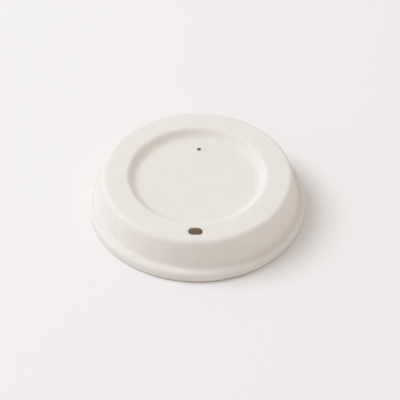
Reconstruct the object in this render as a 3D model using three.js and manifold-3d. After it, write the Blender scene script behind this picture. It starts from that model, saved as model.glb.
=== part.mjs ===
// A sip lid for a hot-drink cup with a rolled rim, pressed from plant fibre in one piece.
// Millimetres, +Z up. The lid stands on its trimmed edge at z = 0, centred on the Z axis,
// with the sip hole towards -Y and the vent towards +Y.

import * as THREE from "three";
import { mergeVertices, toCreasedNormals } from "three/addons/utils/BufferGeometryUtils.js";
import Module from "manifold-3d";

// The cup's rolled rim, and how the skirt holds it
const cupRimDiameter = 90;
const cupRimHeight = 2.8;
const rimClearance = 0.5; // between rim and skirt, on the radius
const snapInterference = 0.2; // how far the bead reaches under the rim, on the radius
const beadHalfHeight = 0.8;
const edgeLand = 0.3; // plain stretch of skirt between the bead and the trimmed edge

// Pressed wall, the same thickness everywhere
const wall = 0.8;

// Shoulder over the rim, and the side wall above it
const shoulderWidth = 3.3;
const shoulderFillet = 1.6;
const wallFootFillet = 1.3;
const wallDraft = THREE.MathUtils.degToRad(12.2); // lean of the side wall from upright

// Drinking ledge, which falls slightly outwards
const lidHeight = 17.7; // at the ledge's inner corner, before it is rounded
const ledgeWidth = 11;
const ledgeFall = 0.25;
const ledgeFillet = 2.3;

// Recess in the middle of the top
const recessDepth = 3.35;
const recessSlope = THREE.MathUtils.degToRad(52); // rise of its side from level
const recessLipFillet = 2.1;
const recessFootFillet = 3.7;
const floorCrown = 0.2; // rise of the recess floor at its centre

// Punched holes
const sipWidth = 4;
const sipStraight = 2.15; // length of the sides between the two round ends
const sipFromLedgeEdge = 6.1;
const ventDiameter = 1.9;
const ventFromRecessFoot = 7.4;

// Fineness of the mesh
const turnSegments = 80;
const filletStep = THREE.MathUtils.degToRad(22.5);
const crownSteps = 3;
const beadSteps = 6;
const creaseAngle = THREE.MathUtils.degToRad(35);
const holeSegments = 24;
const weldDistance = 1e-4;

// Radii and heights that follow from the sizes above
const skirtRadius = cupRimDiameter / 2 + rimClearance + wall;
const skirtHeight = edgeLand + beadHalfHeight + cupRimHeight + wall;
const wallFootRadius = skirtRadius - shoulderWidth;
const ledgeEdgeHeight = lidHeight - ledgeFall;
const ledgeRadius = wallFootRadius - (ledgeEdgeHeight - skirtHeight) * Math.tan(wallDraft);
const recessRadius = ledgeRadius - ledgeWidth;
const floorRadius = recessRadius - recessDepth / Math.tan(recessSlope);
const floorHeight = lidHeight - recessDepth;

const wasm = await Module();
wasm.setup();

// A corner of a section: radius from the axis, height and the fillet that rounds it
function corner(radius, height, fillet = 0) {
  return { point: new THREE.Vector2(radius, height), fillet };
}

// The recess floor from the axis outwards, as a shallow arch
function crownCorners() {
  const corners = [];
  for (let step = 0; step < crownSteps; step += 1) {
    const share = step / crownSteps;
    corners.push(corner(floorRadius * share, floorHeight + floorCrown * (1 - share * share)));
  }
  return corners;
}

// The outer face of the lid, from the axis to the trimmed edge
function outerCorners() {
  return [
    ...crownCorners(),
    corner(floorRadius, floorHeight, recessFootFillet),
    corner(recessRadius, lidHeight, recessLipFillet),
    corner(ledgeRadius, ledgeEdgeHeight, ledgeFillet),
    corner(wallFootRadius, skirtHeight, wallFootFillet),
    corner(skirtRadius, skirtHeight, shoulderFillet),
    corner(skirtRadius, 0),
  ];
}

function direction(from, to) {
  return to.point.clone().sub(from.point).normalize();
}

// The same outline moved inwards by the wall, with fillets that keep the wall even round each corner
function innerCorners(corners) {
  return corners.map((here, index) => {
    const before = corners[index - 1];
    const after = corners[index + 1];
    const arriving = before ? direction(before, here) : direction(here, after);
    const leaving = after ? direction(here, after) : arriving;
    const across = new THREE.Vector2(arriving.y + leaving.y, -arriving.x - leaving.x);
    const point = here.point.clone().addScaledVector(across, wall / (1 + arriving.dot(leaving)));
    const side = Math.sign(arriving.cross(leaving));
    const fillet = here.fillet ? Math.max(0, here.fillet + side * wall) : 0;
    return corner(Math.max(0, point.x), Math.max(0, point.y), fillet);
  });
}

// The bead inside the skirt that snaps under the cup's rim: a smooth swell from the wall and back
function beadCorners() {
  const depth = rimClearance + snapInterference;
  const crestHeight = edgeLand + beadHalfHeight;
  const corners = [];
  for (let step = 0; step <= beadSteps; step += 1) {
    const along = 1 - (2 * step) / beadSteps;
    const swell = (depth * (1 + Math.cos(Math.PI * along))) / 2;
    corners.push(corner(skirtRadius - wall - swell, crestHeight + beadHalfHeight * along));
  }
  return corners;
}

// How far each fillet reaches along its runs, drawn in where two would meet on one run
function filletReaches(corners) {
  const wanted = corners.map(({ fillet }, index) => {
    if (!fillet) return 0;
    const turn = direction(corners[index - 1], corners[index])
      .angleTo(direction(corners[index], corners[index + 1]));
    return fillet * Math.tan(turn / 2);
  });
  return wanted.map((reach, index) => {
    const shares = [index - 1, index + 1].map((neighbour) => {
      if (!corners[neighbour] || !reach) return 1;
      const run = corners[index].point.distanceTo(corners[neighbour].point);
      return run / (reach + wanted[neighbour]);
    });
    return reach * Math.min(1, ...shares);
  });
}

// Points of a section whose corners are rounded by tangent arcs
function roundedPoints(corners) {
  const reaches = filletReaches(corners);
  return corners.flatMap((here, index) => {
    const reach = reaches[index];
    if (reach === 0) return [here.point];
    const arriving = direction(corners[index - 1], here);
    const leaving = direction(here, corners[index + 1]);
    const turn = arriving.angleTo(leaving);
    const radius = reach / Math.tan(turn / 2);
    const side = Math.sign(arriving.cross(leaving));
    const start = here.point.clone().addScaledVector(arriving, -reach);
    const toCentre = new THREE.Vector2(-arriving.y, arriving.x).multiplyScalar(side * radius);
    const centre = start.clone().add(toCentre);
    const steps = Math.ceil(turn / filletStep);
    return Array.from({ length: steps + 1 }, (_, step) =>
      start.clone().rotateAround(centre, (side * turn * step) / steps));
  });
}

// A closed geometry as a solid that can be cut
function solidFrom(geometry) {
  geometry.deleteAttribute("normal");
  geometry.deleteAttribute("uv");
  const welded = mergeVertices(geometry, weldDistance);
  const triangles = [];
  for (let first = 0; first < welded.index.count; first += 3) {
    const [a, b, c] = [0, 1, 2].map((offset) => welded.index.getX(first + offset));
    if (a !== b && b !== c && c !== a) triangles.push(a, b, c);
  }
  return new wasm.Manifold(new wasm.Mesh({
    numProp: 3,
    vertProperties: welded.attributes.position.array,
    triVerts: new Uint32Array(triangles),
  }));
}

// A solid as a geometry, smooth on the pressed faces and crisp at punched and trimmed edges
function geometryFrom(solid) {
  const { vertProperties, triVerts } = solid.getMesh();
  const geometry = new THREE.BufferGeometry();
  geometry.setAttribute("position", new THREE.BufferAttribute(vertProperties, 3));
  geometry.setIndex(new THREE.BufferAttribute(triVerts, 1));
  return toCreasedNormals(geometry, creaseAngle);
}

// The pressed shell: both faces joined by the flat trimmed edge, turned about the Z axis
function pressedShell() {
  const outer = outerCorners();
  const inner = innerCorners(outer);
  inner.splice(-1, 0, ...beadCorners());
  const section = [...roundedPoints(outer), ...roundedPoints(inner).reverse()];
  return new THREE.LatheGeometry(section.reverse(), turnSegments).rotateX(Math.PI / 2);
}

// The sip hole's punch: straight sides and round ends, through the ledge
function sipPunch() {
  const radius = sipWidth / 2;
  const outline = new THREE.Shape();
  outline.absarc(sipStraight / 2, 0, radius, -Math.PI / 2, Math.PI / 2);
  outline.absarc(-sipStraight / 2, 0, radius, Math.PI / 2, (3 * Math.PI) / 2);
  const punch = new THREE.ExtrudeGeometry(outline, {
    depth: lidHeight,
    bevelEnabled: false,
    curveSegments: holeSegments / 2,
  });
  return punch.translate(0, sipFromLedgeEdge - ledgeRadius, lidHeight / 2);
}

// The vent's punch, through the recess floor
function ventPunch() {
  const punch = new THREE.CylinderGeometry(ventDiameter / 2, ventDiameter / 2, lidHeight, holeSegments);
  return punch.rotateX(Math.PI / 2).translate(0, floorRadius - ventFromRecessFoot, lidHeight);
}

function lidGeometry() {
  const punched = solidFrom(pressedShell())
    .subtract(solidFrom(sipPunch()))
    .subtract(solidFrom(ventPunch()));
  return geometryFrom(punched);
}

const fibre = new THREE.MeshStandardMaterial({ color: 0xe9e4de, roughness: 0.9, metalness: 0 });

const lid = new THREE.Mesh(lidGeometry(), fibre);
lid.name = "lid";

const cupLid = new THREE.Group();
cupLid.add(lid);

export default cupLid;
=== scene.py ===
"""A pressed-fibre sip lid standing on a pale floor in soft studio light."""
import math
from collections import namedtuple

import bmesh
import bpy
import numpy as np
from mathutils import Matrix, Vector, noise


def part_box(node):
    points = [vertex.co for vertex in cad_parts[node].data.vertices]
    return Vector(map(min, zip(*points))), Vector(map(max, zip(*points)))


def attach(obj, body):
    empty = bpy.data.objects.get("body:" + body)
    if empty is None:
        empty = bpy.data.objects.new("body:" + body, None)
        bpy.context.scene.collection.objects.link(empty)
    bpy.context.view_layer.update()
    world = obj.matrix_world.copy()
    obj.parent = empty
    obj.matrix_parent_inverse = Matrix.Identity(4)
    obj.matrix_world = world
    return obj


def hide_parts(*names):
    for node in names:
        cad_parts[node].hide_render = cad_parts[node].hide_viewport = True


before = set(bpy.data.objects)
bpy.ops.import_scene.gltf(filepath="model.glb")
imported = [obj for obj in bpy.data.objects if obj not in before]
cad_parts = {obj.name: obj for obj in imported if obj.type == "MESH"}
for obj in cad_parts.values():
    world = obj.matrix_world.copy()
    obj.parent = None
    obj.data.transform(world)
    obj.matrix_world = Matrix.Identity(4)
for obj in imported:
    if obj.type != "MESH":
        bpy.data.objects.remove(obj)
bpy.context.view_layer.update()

MM = 0.001

# Section of the lid: its width comes from the solid, the rest is as in the solid
SKIRT_RADIUS = float(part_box("lid")[1][0])
WALL = 0.8 * MM
SHOULDER_WIDTH = 3.3 * MM
SHOULDER_HEIGHT = 4.7 * MM
SHOULDER_FILLET = 1.6 * MM
WALL_FOOT_FILLET = 1.3 * MM
WALL_DRAFT = math.radians(12.2)
LID_HEIGHT = 17.7 * MM
LEDGE_WIDTH = 11 * MM
LEDGE_FALL = 0.25 * MM
LEDGE_FILLET = 2.3 * MM
RECESS_DEPTH = 3.35 * MM
RECESS_SLOPE = math.radians(52)
RECESS_LIP_FILLET = 2.1 * MM
RECESS_FOOT_FILLET = 3.7 * MM
FLOOR_CROWN = 0.2 * MM
BEAD_DEPTH = 0.7 * MM
BEAD_HEIGHT = 1.1 * MM
BEAD_HALF_HEIGHT = 0.8 * MM
EDGE_FILLET = 0.3 * MM

# Radii and heights that follow from the section
WALL_FOOT_RADIUS = SKIRT_RADIUS - SHOULDER_WIDTH
LEDGE_EDGE_HEIGHT = LID_HEIGHT - LEDGE_FALL
LEDGE_RADIUS = WALL_FOOT_RADIUS - (LEDGE_EDGE_HEIGHT - SHOULDER_HEIGHT) * math.tan(WALL_DRAFT)
RECESS_RADIUS = LEDGE_RADIUS - LEDGE_WIDTH
FLOOR_RADIUS = RECESS_RADIUS - RECESS_DEPTH / math.tan(RECESS_SLOPE)
FLOOR_HEIGHT = LID_HEIGHT - RECESS_DEPTH

# Punched holes: distance from the axis, half the straight stretch, radius of the round ends,
# and a seed for the ragged outline
Hole = namedtuple("Hole", "side distance straight radius seed")
FRONT = 0
BACK = 1
SIP_WIDTH = 4 * MM
SIP_STRAIGHT = 2.15 * MM
SIP_FROM_LEDGE_EDGE = 6.1 * MM
VENT_WIDTH = 1.9 * MM
VENT_FROM_RECESS_FOOT = 7.4 * MM
HOLES = (
    Hole(FRONT, LEDGE_RADIUS - SIP_FROM_LEDGE_EDGE, SIP_STRAIGHT / 2, SIP_WIDTH / 2, seed=1.7),
    Hole(BACK, FLOOR_RADIUS - VENT_FROM_RECESS_FOOT, 0, VENT_WIDTH / 2, seed=4.1),
)
PUNCH_FILLET = 0.12 * MM
PUNCH_SHIFT = 0.33 * MM
RAGGED = 0.05 * MM
RAGGED_DETAIL = 3

# Unevenness of pressed fibre: the waves are given by length and height
OUT_OF_ROUND = 0.07 * MM
OUT_OF_ROUND_PHASE = 0.6
WAVES = ((14 * MM, 0.06 * MM), (4.5 * MM, 0.022 * MM))
WAVE_SEED = 7
EDGE_LIFT = 0.36 * MM
EDGE_LIFT_TURN = math.radians(-84)
EDGE_LIFT_REACH = 4 * MM
EDGE_LIFT_NARROWING = 1.5
EDGE_LIFT_INWARD_FALL = 8

# Fineness of the mesh
COLUMNS = 384
CROWN_STEPS = 8
BEAD_STEPS = 10
RUN_STEP = 0.95 * MM
ARC_STEP = math.radians(9)
PATCH_MARGIN = 2.2 * MM
PATCH_LOOPS = 7
PATCH_CROWDING = 1.5
PUNCH_STEPS = 3
TOUCHING = 0.001 * MM
EDGE_RINGS = 30  # from the top of the skirt's outer face, round the trimmed edge, to the bead

# Materials
NOISE_RANGE = (0.3, 0.7)
FIBRE_COLOUR = (0.978, 0.957, 0.932)
FIBRE_ROUGHNESS = (0.84, 0.94)
FIBRE_ROUGHNESS_SIZE = 2 * MM
FIBRE_SPECULAR = 0.2
FIBRE_GLOW = 0.28
FIBRE_GLOW_COLOUR = (0.98, 0.86, 0.74)
CLOUD_SIZE = 6 * MM
CLOUD_DEPTH = 0.02
STRAND_COLOUR = (0.70, 0.63, 0.55)
STRAND_LENGTH = 1.3 * MM
STRAND_WIDTH = 0.11 * MM
STRAND_DIRECTIONS = 6
STRAND_OFFSET = 10 * MM
STRAND_TILT = math.radians(35)
STRAND_TILT_TURNS = 5
STRAND_RANGE = (0.68, 0.82)
STRAND_DEPTH = 0.2
STRAND_HEIGHT = 0.02 * MM
# Brown of trimmed and punched fibre, darkened as painted shade: on the trimmed bottom edge it is the
# painted contact shadow under the skirt, and on the hole walls the painted shade inside the holes. The glow
# factor darkens the light let through there, and the share is how much of it the bottom edge takes.
CUT_AND_SHADE_COLOUR = (0.62, 0.52, 0.385)
CUT_GLOW_SHADE = 0.5
TRIMMED_SHADE_SHARE = 0.85
GRAIN_SIZE = 0.7 * MM
GRAIN_HEIGHT = 0.04 * MM
SCREEN_PITCH = 1.0 * MM
SCREEN_WARP = 0.6
SCREEN_HEIGHT = 0.05 * MM
FLOOR_COLOUR = (0.848, 0.824, 0.822)
FLOOR_GRAIN_SIZE = 0.6 * MM
FLOOR_GRAIN_DEPTH = 0.005
FLOOR_ROUGHNESS = 0.9
FLOOR_SPECULAR = 0.0
FLOOR_REACH = 1.2
FLOOR_DROP = 0.01 * MM

# Studio light: azimuth and elevation in degrees, size in metres, and power in red, green and blue
SKY_COLOUR = (0.642, 0.607, 0.568)
LIGHT_DISTANCE = 3.0
LIGHTS = {
    "key": (164.6, 47.07, 1.75, (48.8, 53.2, 57.6)),
    "right_fill": (0, 12, 1.6, (5.8, 5.2, 5.4)),
    "left_fill": (180, 12, 1.6, (2.7, 3.3, 4.7)),
}

# Camera, for a picture of 400 by 400
IMAGE_SIZE = 400
FOCAL_PIXELS = 1717.57
CAMERA_DISTANCE = 0.73805
CAMERA_ELEVATION = 44.073
CAMERA_TURN = 1.78
BASE_PIXEL = (197.09, 204.0)
SENSOR_WIDTH = 36
CLIP_START = 0.01
CLIP_END = 20


# The section

def direction(start, end):
    """Unit vector from one corner of a section to another."""
    vector = np.subtract(end[:2], start[:2])
    return vector / np.linalg.norm(vector)


def cross(first, second):
    """Positive where the second vector turns anticlockwise from the first."""
    return first[0] * second[1] - first[1] * second[0]


def outer_corners():
    """Corners of the outer face with their fillets, from the axis to the trimmed edge."""
    crown = []
    for step in range(CROWN_STEPS):
        share = step / CROWN_STEPS
        crown.append((FLOOR_RADIUS * share, FLOOR_HEIGHT + FLOOR_CROWN * (1 - share * share), 0))
    return crown + [
        (FLOOR_RADIUS, FLOOR_HEIGHT, RECESS_FOOT_FILLET),
        (RECESS_RADIUS, LID_HEIGHT, RECESS_LIP_FILLET),
        (LEDGE_RADIUS, LEDGE_EDGE_HEIGHT, LEDGE_FILLET),
        (WALL_FOOT_RADIUS, SHOULDER_HEIGHT, WALL_FOOT_FILLET),
        (SKIRT_RADIUS, SHOULDER_HEIGHT, SHOULDER_FILLET),
        (SKIRT_RADIUS, 0, EDGE_FILLET),
    ]


def inner_corners(corners):
    """The outer corners moved inwards by the wall, with fillets that keep the wall even."""
    inner = []
    for index, here in enumerate(corners):
        arriving = direction(corners[index - 1], here) if index else None
        leaving = direction(here, corners[index + 1]) if index + 1 < len(corners) else arriving
        arriving = leaving if arriving is None else arriving
        across = np.array((arriving[1] + leaving[1], -arriving[0] - leaving[0]))
        point = here[:2] + across * WALL / (1 + arriving @ leaving)
        side = np.sign(cross(arriving, leaving))
        fillet = max(0, here[2] + side * WALL) if here[2] else 0
        inner.append((max(0, point[0]), max(0, point[1]), fillet))
    inner[-1] = (inner[-1][0], 0, EDGE_FILLET)
    return inner


def bead_corners():
    """The bead inside the skirt, a smooth swell from the wall and back, from the top down."""
    corners = []
    for step in range(BEAD_STEPS + 1):
        along = 1 - 2 * step / BEAD_STEPS
        swell = BEAD_DEPTH * (1 + math.cos(math.pi * along)) / 2
        corners.append((SKIRT_RADIUS - WALL - swell, BEAD_HEIGHT + BEAD_HALF_HEIGHT * along, 0))
    return corners


def rounded(corners):
    """Closely spaced points along a section whose corners are rounded by tangent arcs."""
    points = [np.array(corners[0][:2], float)]
    for before, here, after in zip(corners, corners[1:], corners[2:]):
        arriving, leaving = direction(before, here), direction(here, after)
        turn = math.acos(np.clip(arriving @ leaving, -1, 1))
        reach = here[2] * math.tan(turn / 2)
        start = here[:2] - arriving * reach
        add_run(points, start)
        if not reach:
            continue
        side = np.sign(cross(arriving, leaving))
        centre = start + np.array((-arriving[1], arriving[0])) * side * here[2]
        steps = math.ceil(turn / ARC_STEP)
        for step in range(1, steps + 1):
            angle = side * turn * step / steps
            spoke = start - centre
            points.append(centre + (
                spoke[0] * math.cos(angle) - spoke[1] * math.sin(angle),
                spoke[0] * math.sin(angle) + spoke[1] * math.cos(angle)))
    add_run(points, np.array(corners[-1][:2], float))
    return np.array(points)


def add_run(points, end):
    """Continues a list of points along a straight run."""
    start = points[-1]
    length = np.linalg.norm(end - start)
    if length < TOUCHING:
        return
    steps = max(1, round(length / RUN_STEP))
    points.extend(start + (end - start) * step / steps for step in range(1, steps + 1))


def lid_section():
    """Radius and height of each ring, from the axis over the outer face, round the edge and back inside."""
    outer = outer_corners()
    inner = inner_corners(outer)
    inner[-1:-1] = bead_corners()
    return rounded(outer + inner[::-1])


# The mesh

def punch_reach(across, along, straight, radius):
    """Distance from a hole's centre to its outline, in a direction with unit parts across and along."""
    if abs(across) * radius <= straight * abs(along):
        return radius / abs(along)
    return straight * abs(across) + math.sqrt(radius ** 2 - (straight * along) ** 2)


class Shell:
    """Vertices and faces of the lid: rings by columns, with patches of loops round the punched holes."""

    def __init__(self, section):
        self.section = section
        angles = -math.pi / 2 + 2 * math.pi * np.arange(COLUMNS) / COLUMNS
        rings = section[1:-1]
        grid = np.empty((len(rings), COLUMNS, 3))
        grid[..., 0] = rings[:, :1] * np.cos(angles)
        grid[..., 1] = rings[:, :1] * np.sin(angles)
        grid[..., 2] = rings[:, 1:]
        self.points = [tuple(point) for point in grid.reshape(-1, 3)]
        inner = np.arange(len(rings)) > np.argmax(rings[:, 0]) + EDGE_RINGS
        self.inner = list(np.repeat(inner.astype(float), COLUMNS))
        # The trimmed bottom edge takes most of the brown, painted as the contact shadow under the skirt
        self.cut = [TRIMMED_SHADE_SHARE * (z < EDGE_FILLET / 2) for _, _, z in self.points]
        self.quads = {}
        for ring in range(len(rings) - 1):
            for column in range(COLUMNS):
                self.quads[ring, column] = (
                    self.at(ring, column), self.at(ring + 1, column),
                    self.at(ring + 1, column + 1), self.at(ring, column + 1))
        self.extra = []
        top = self.add((0, 0, section[0][1]))
        under = self.add((0, 0, section[-1][1]), inner=1)
        last = len(rings) - 1
        for column in range(COLUMNS):
            self.extra.append((top, self.at(0, column), self.at(0, column + 1)))
            self.extra.append((under, self.at(last, column + 1), self.at(last, column)))

    def at(self, ring, column):
        """Number of the vertex on a ring at a column, which counts on round the lid."""
        return ring * COLUMNS + column % COLUMNS

    def add(self, point, inner=0, cut=0):
        """Adds a vertex, with 1 for inner on the inner face, and the share of brown painted shade it takes,
        1 on a hole's wall.
        """
        self.points.append(tuple(point))
        self.inner.append(float(inner))
        self.cut.append(float(cut))
        return len(self.points) - 1

    def join(self, first, second):
        """A band of quads between two closed loops of vertices."""
        count = len(first)
        for index in range(count):
            after = (index + 1) % count
            self.extra.append((first[index], first[after], second[after], second[index]))

    def face_rings(self, low, high, upper):
        """Rings of the upper or the under face whose radius is nearest the two given, and all between."""
        radii = self.section[1:-1, 0]
        widest = int(np.argmax(radii))
        rings = range(widest) if upper else range(widest, len(radii))
        first = min(rings, key=lambda ring: abs(radii[ring] - low))
        last = min(rings, key=lambda ring: abs(radii[ring] - high))
        return first, last

    def height_on(self, radius, first, last):
        """Height of one face at a radius between two of its rings."""
        step = 1 if last > first else -1
        part = self.section[1:-1][list(range(first, last + step, step))]
        return float(np.interp(radius, part[:, 0], part[:, 1]))

    def punch(self, hole):
        """Cuts a hole through both faces and joins them with the wall of the hole."""
        middle = hole.side * COLUMNS // 2
        across = hole.straight + hole.radius + PATCH_MARGIN
        along = hole.radius + PATCH_MARGIN
        half = round(across / hole.distance * COLUMNS / (2 * math.pi))
        low, high = hole.distance - along, hole.distance + along
        first, last = self.face_rings(low, high, upper=True)
        under, _ = self.face_rings(low, high, upper=False)
        seams = []
        for up, start, end in ((1, first, last), (-1, under, under - (last - first))):
            rim = self.rim(start, end, middle, half)
            self.clear(start, end, middle, half)
            loops = self.patch(hole, up, start, end, rim)
            for outside, inside in zip(loops, loops[1:]):
                self.join(*((inside, outside) if up > 0 else (outside, inside)))
            seams.append(loops[-1])
        self.join(seams[1], seams[0])

    def patch(self, hole, up, start, end, rim):
        """Loops of vertices from the rim of a patch to its hole, and over the edge into the wall."""
        # The rounded edge reaches half its fillet outside the hole's outline, and half inside
        rows = [((step / PATCH_LOOPS) ** PATCH_CROWDING, PUNCH_FILLET / 2, 0, 0)
                for step in reversed(range(PATCH_LOOPS))]
        # Round the hole's edge the faces take more and more brown painted shade, all of it on the wall
        for step in range(1, PUNCH_STEPS + 1):
            angle = math.pi / 2 * step / PUNCH_STEPS
            drop = up * PUNCH_FILLET * (1 - math.cos(angle))
            rows.append((0, PUNCH_FILLET * (0.5 - math.sin(angle)), drop, step / PUNCH_STEPS))
        loops = [rim]
        for share, grown, drop, cut in rows:
            loop = []
            for x, y in self.outline(rim, hole, grown, share):
                height = self.height_on(math.hypot(x, y), start, end) - drop
                loop.append(self.add((x, y, height), up < 0, cut))
            loops.append(loop)
        return loops

    def rim(self, start, end, middle, half):
        """Vertices round a rectangular patch of one face, in order."""
        step = 1 if end > start else -1
        near = [self.at(start, middle + column) for column in range(-half, half)]
        right = [self.at(ring, middle + half) for ring in range(start, end, step)]
        far = [self.at(end, middle + column) for column in range(half, -half, -1)]
        left = [self.at(ring, middle - half) for ring in range(end, start, -step)]
        return near + right + far + left

    def clear(self, start, end, middle, half):
        """Takes the quads of a patch away."""
        for ring in range(min(start, end), max(start, end)):
            for column in range(middle - half, middle + half):
                del self.quads[ring, column % COLUMNS]

    def outline(self, rim, hole, grown, share):
        """Points between a hole's outline, grown a little (share 0), and the rim of its patch (share 1)."""
        centre = hole.distance * (1 if hole.side == BACK else -1)
        for vertex in rim:
            offset = np.array(self.points[vertex][:2]) - (PUNCH_SHIFT, centre)
            length = np.linalg.norm(offset)
            across, along = offset / length
            place = Vector((RAGGED_DETAIL * across, RAGGED_DETAIL * along, hole.seed))
            reach = punch_reach(across, along, hole.straight, hole.radius + grown)
            reach += RAGGED * noise.noise(place)
            distance = reach * (1 - share) + length * share
            yield PUNCH_SHIFT + across * distance, centre + along * distance


def uneven(points):
    """Gives the points the slight unevenness of pressed fibre, and fits them in the solid's box."""
    noise.seed_set(WAVE_SEED)
    moved = []
    for x, y, z in points:
        turn = math.atan2(y, x)
        radius = math.hypot(x, y)
        place = Vector((x, y, z))
        place *= 1 + OUT_OF_ROUND / SKIRT_RADIUS * math.cos(2 * turn + OUT_OF_ROUND_PHASE)
        place.z = z
        for length, height in WAVES:
            place += noise.noise_vector(Vector((x, y, z)) / length) * height
        outward = min(1, radius / WALL_FOOT_RADIUS) ** EDGE_LIFT_INWARD_FALL
        near_edge = max(0, 1 - z / EDGE_LIFT_REACH) * outward
        lift = EDGE_LIFT * max(0, math.cos(turn - EDGE_LIFT_TURN)) ** EDGE_LIFT_NARROWING
        place.z = z + (place.z - z) * (1 - near_edge) + lift * near_edge
        moved.append(place)
    moved = np.array(moved)
    moved[:, 2] -= moved[:, 2].min()
    low, high = (np.array(corner, float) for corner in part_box("lid"))
    size = moved.max(axis=0) - moved.min(axis=0)
    shrink = (high - low) / size
    return (moved - moved.min(axis=0)) * shrink + low


def make_lid():
    shell = Shell(lid_section())
    for hole in HOLES:
        shell.punch(hole)
    points = [tuple(point) for point in uneven(shell.points)]
    faces = list(shell.quads.values()) + shell.extra
    mesh = bpy.data.meshes.new("fibre_lid")
    mesh.from_pydata(points, [], faces)
    # The share of brown painted shade goes to the material as a vertex attribute
    for name, values in (("cut", shell.cut), ("inner", shell.inner)):
        mesh.attributes.new(name, "FLOAT", "POINT").data.foreach_set("value", values)
    keep_used_points(mesh)
    mesh.shade_smooth()
    lid = bpy.data.objects.new("fibre_lid", mesh)
    bpy.context.collection.objects.link(lid)
    return lid


def keep_used_points(mesh):
    """Takes away the points that the punched patches left without a face."""
    shape = bmesh.new()
    shape.from_mesh(mesh)
    loose = [vertex for vertex in shape.verts if not vertex.link_faces]
    bmesh.ops.delete(shape, geom=loose, context="VERTS")
    shape.to_mesh(mesh)
    shape.free()


# Materials

class Nodes:
    """A material's node tree, with short calls to add and link nodes."""

    # A mix node's sockets when it mixes colours
    MIX_SHARE, MIX_FIRST, MIX_SECOND = 0, 6, 7
    MIX_RESULT = 2

    def __init__(self, name):
        self.material = bpy.data.materials.new(name)
        self.material.use_nodes = True
        self.tree = self.material.node_tree
        self.tree.nodes.clear()
        self.place = self.add("ShaderNodeTexCoord").outputs["Object"]
        self.shader = self.add("ShaderNodeBsdfPrincipled")
        self.surface = self.add("ShaderNodeOutputMaterial").inputs["Surface"]
        self.put(self.surface, self.shader.outputs["BSDF"])

    def add(self, kind, inputs=None, **settings):
        """Adds a node; an input is either a value or another node's output."""
        node = self.tree.nodes.new(kind)
        for name, value in settings.items():
            setattr(node, name, value)
        for name, value in (inputs or {}).items():
            self.put(node.inputs[name], value)
        return node

    def put(self, socket, value):
        """Sets a socket, or links it where the value is another node's output."""
        if isinstance(value, bpy.types.NodeSocket):
            self.tree.links.new(value, socket)
        else:
            socket.default_value = value

    def noise(self, size, detail=3, roughness=0.55):
        """Noise whose largest spots are about the given size across."""
        node = self.add("ShaderNodeTexNoise", {
            "Vector": self.place, "Scale": 1 / size, "Detail": detail, "Roughness": roughness})
        return node.outputs["Fac"]

    def spread(self, value, source, target=(0, 1)):
        """Maps a value from one range onto another."""
        node = self.add("ShaderNodeMapRange", {
            "Value": value, "From Min": source[0], "From Max": source[1],
            "To Min": target[0], "To Max": target[1]})
        return node.outputs["Result"]

    def blend(self, share, first, second):
        """A colour between two others."""
        node = self.add("ShaderNodeMix", {
            self.MIX_SHARE: share, self.MIX_FIRST: first, self.MIX_SECOND: second}, data_type="RGBA")
        return node.outputs[self.MIX_RESULT]

    def bump(self, height, distance, normal=None):
        """A normal bent by a height, on top of another normal if one is given."""
        node = self.add("ShaderNodeBump", {"Height": height, "Distance": distance, "Strength": 1})
        if normal:
            self.put(node.inputs["Normal"], normal)
        return node.outputs["Normal"]


def tint(colour, factor=1):
    """A colour made darker or lighter, with full alpha."""
    return tuple(channel * factor for channel in colour) + (1,)


def fibre_strands(nodes):
    """Short straight strands that lie in several directions, bright where a strand is."""
    strands = None
    for number in range(STRAND_DIRECTIONS):
        turn = math.pi * number / STRAND_DIRECTIONS
        tilt = STRAND_TILT * math.sin(STRAND_TILT_TURNS * turn)
        mapped = nodes.add("ShaderNodeMapping", {
            "Vector": nodes.place, "Location": (STRAND_OFFSET * number, 0, 0), "Rotation": (0, tilt, turn),
            "Scale": (STRAND_LENGTH, STRAND_WIDTH, STRAND_WIDTH)}, vector_type="TEXTURE")
        strand = nodes.add("ShaderNodeTexNoise", {
            "Vector": mapped.outputs["Vector"], "Scale": 1.0, "Detail": 0.0}).outputs["Fac"]
        strands = strand if strands is None else nodes.add(
            "ShaderNodeMath", {0: strands, 1: strand}, operation="MAXIMUM").outputs[0]
    return strands


def screen_print(nodes):
    """The faint print of the forming screen, on the inner face only."""
    height = nodes.add("ShaderNodeAttribute", attribute_name="inner").outputs["Fac"]
    bands_at_scale_one = 10 / math.pi
    scale = 1 / (bands_at_scale_one * SCREEN_PITCH)
    for axis in "XY":
        wires = nodes.add("ShaderNodeTexWave", {
            "Vector": nodes.place, "Scale": scale, "Distortion": SCREEN_WARP, "Detail": 1.0},
            bands_direction=axis).outputs["Fac"]
        height = nodes.add("ShaderNodeMath", {0: height, 1: wires}, operation="MULTIPLY").outputs[0]
    return height


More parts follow.
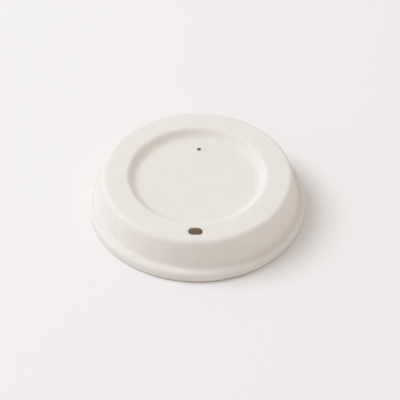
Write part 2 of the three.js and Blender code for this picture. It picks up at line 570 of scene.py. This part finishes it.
def fibre_material():
    """Matt off-white pressed fibre: cloudy, with short strands and a fine grain, and brown painted shade on
    the trimmed edge and the hole walls.
    """
    nodes = Nodes("pressed_fibre")
    clouds = nodes.spread(nodes.noise(CLOUD_SIZE), NOISE_RANGE)
    strands = fibre_strands(nodes)
    # Share of brown painted shade: the contact shadow along the trimmed edge and the shade inside the holes
    cut = nodes.add("ShaderNodeAttribute", attribute_name="cut").outputs["Fac"]
    colour = nodes.blend(clouds, tint(FIBRE_COLOUR, 1 - CLOUD_DEPTH), tint(FIBRE_COLOUR, 1 + CLOUD_DEPTH))
    flecks = nodes.spread(strands, STRAND_RANGE, (0, STRAND_DEPTH))
    colour = nodes.blend(flecks, colour, tint(STRAND_COLOUR))
    # Painted shade: the trimmed edge and the hole walls turn dark brown
    colour = nodes.blend(cut, colour, tint(CUT_AND_SHADE_COLOUR))
    normal = nodes.bump(nodes.noise(GRAIN_SIZE, detail=4, roughness=0.6), GRAIN_HEIGHT)
    normal = nodes.bump(strands, STRAND_HEIGHT, normal)
    normal = nodes.bump(screen_print(nodes), SCREEN_HEIGHT, normal)
    shader = nodes.shader
    nodes.put(shader.inputs["Base Color"], colour)
    roughness = nodes.spread(nodes.noise(FIBRE_ROUGHNESS_SIZE), NOISE_RANGE, FIBRE_ROUGHNESS)
    nodes.put(shader.inputs["Roughness"], roughness)
    nodes.put(shader.inputs["Normal"], normal)
    nodes.put(shader.inputs["Specular IOR Level"], FIBRE_SPECULAR)
    # Light let through is darkened on the trimmed edge and the hole walls too, as painted shade
    through = nodes.blend(cut, tint(FIBRE_GLOW_COLOUR), tint(CUT_AND_SHADE_COLOUR, CUT_GLOW_SHADE))
    glow = nodes.add("ShaderNodeBsdfTranslucent", {"Color": through, "Normal": normal})
    mixed = nodes.add("ShaderNodeMixShader", {
        0: FIBRE_GLOW, 1: shader.outputs["BSDF"], 2: glow.outputs["BSDF"]})
    nodes.put(nodes.surface, mixed.outputs["Shader"])
    return nodes.material


def floor_material():
    """A matt pale sheet with a barely visible grain."""
    nodes = Nodes("pale_floor")
    grain = nodes.noise(FLOOR_GRAIN_SIZE, detail=2)
    dark, light = tint(FLOOR_COLOUR, 1 - FLOOR_GRAIN_DEPTH), tint(FLOOR_COLOUR, 1 + FLOOR_GRAIN_DEPTH)
    shader = nodes.shader
    nodes.put(shader.inputs["Base Color"], nodes.blend(grain, dark, light))
    nodes.put(shader.inputs["Roughness"], FLOOR_ROUGHNESS)
    nodes.put(shader.inputs["Specular IOR Level"], FLOOR_SPECULAR)
    return nodes.material


# The studio

def make_floor():
    mesh = bpy.data.meshes.new("floor")
    square = ((-1, -1), (1, -1), (1, 1), (-1, 1))
    corners = [(FLOOR_REACH * x, FLOOR_REACH * y, -FLOOR_DROP) for x, y in square]
    mesh.from_pydata(corners, [], [(0, 1, 2, 3)])
    floor = bpy.data.objects.new("floor", mesh)
    floor.data.materials.append(floor_material())
    bpy.context.collection.objects.link(floor)
    return floor


def make_sky():
    world = bpy.data.worlds.new("studio")
    world.use_nodes = True
    background = world.node_tree.nodes["Background"]
    background.inputs["Color"].default_value = (*SKY_COLOUR, 1)
    background.inputs["Strength"].default_value = 1
    bpy.context.scene.world = world


def make_light(name, azimuth, elevation, size, power):
    """A round soft light that points at the lid."""
    data = bpy.data.lights.new(name, "AREA")
    data.shape = "DISK"
    data.size = size
    data.energy = max(power)
    data.color = [channel / data.energy for channel in power]
    light = bpy.data.objects.new(name, data)
    turn, rise = math.radians(azimuth), math.radians(elevation)
    away = Vector((math.cos(rise) * math.cos(turn), math.cos(rise) * math.sin(turn), math.sin(rise)))
    light.location = away * LIGHT_DISTANCE
    light.rotation_euler = away.to_track_quat("Z", "Y").to_euler()
    bpy.context.collection.objects.link(light)


def make_camera():
    """Sees the middle of the lid's base at the given pixel, from the given elevation and distance."""
    data = bpy.data.cameras.new("camera")
    data.sensor_width = SENSOR_WIDTH
    data.lens = FOCAL_PIXELS * data.sensor_width / IMAGE_SIZE
    data.clip_start = CLIP_START
    data.clip_end = CLIP_END
    elevation = math.radians(CAMERA_ELEVATION)
    right = (BASE_PIXEL[0] - IMAGE_SIZE / 2) / FOCAL_PIXELS
    up = (IMAGE_SIZE / 2 - BASE_PIXEL[1]) / FOCAL_PIXELS
    tilt = math.asin(math.sin(elevation) / math.hypot(up, 1)) + math.atan2(up, 1)
    level = up * math.sin(tilt) + math.cos(tilt)
    pan = -math.atan2(right, level)
    forward = Vector((math.sin(pan) * math.cos(tilt), math.cos(pan) * math.cos(tilt), -math.sin(tilt)))
    upward = Vector((math.sin(pan) * math.sin(tilt), math.cos(pan) * math.sin(tilt), math.cos(tilt)))
    sideways = Vector((math.cos(pan), -math.sin(pan), 0))
    place = Matrix((sideways, upward, -forward)).transposed().to_4x4()
    place.translation = (0, -CAMERA_DISTANCE * math.cos(elevation), CAMERA_DISTANCE * math.sin(elevation))
    camera = bpy.data.objects.new("camera", data)
    camera.matrix_world = Matrix.Rotation(math.radians(CAMERA_TURN), 4, "Z") @ place
    bpy.context.collection.objects.link(camera)
    bpy.context.scene.camera = camera


make_camera()
make_sky()
for name, place_and_power in LIGHTS.items():
    make_light(name, *place_and_power)
make_floor()
lid = make_lid()
lid.data.materials.append(fibre_material())
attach(lid, "root")
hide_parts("lid")
bpy.context.scene.view_settings.view_transform = "Standard"
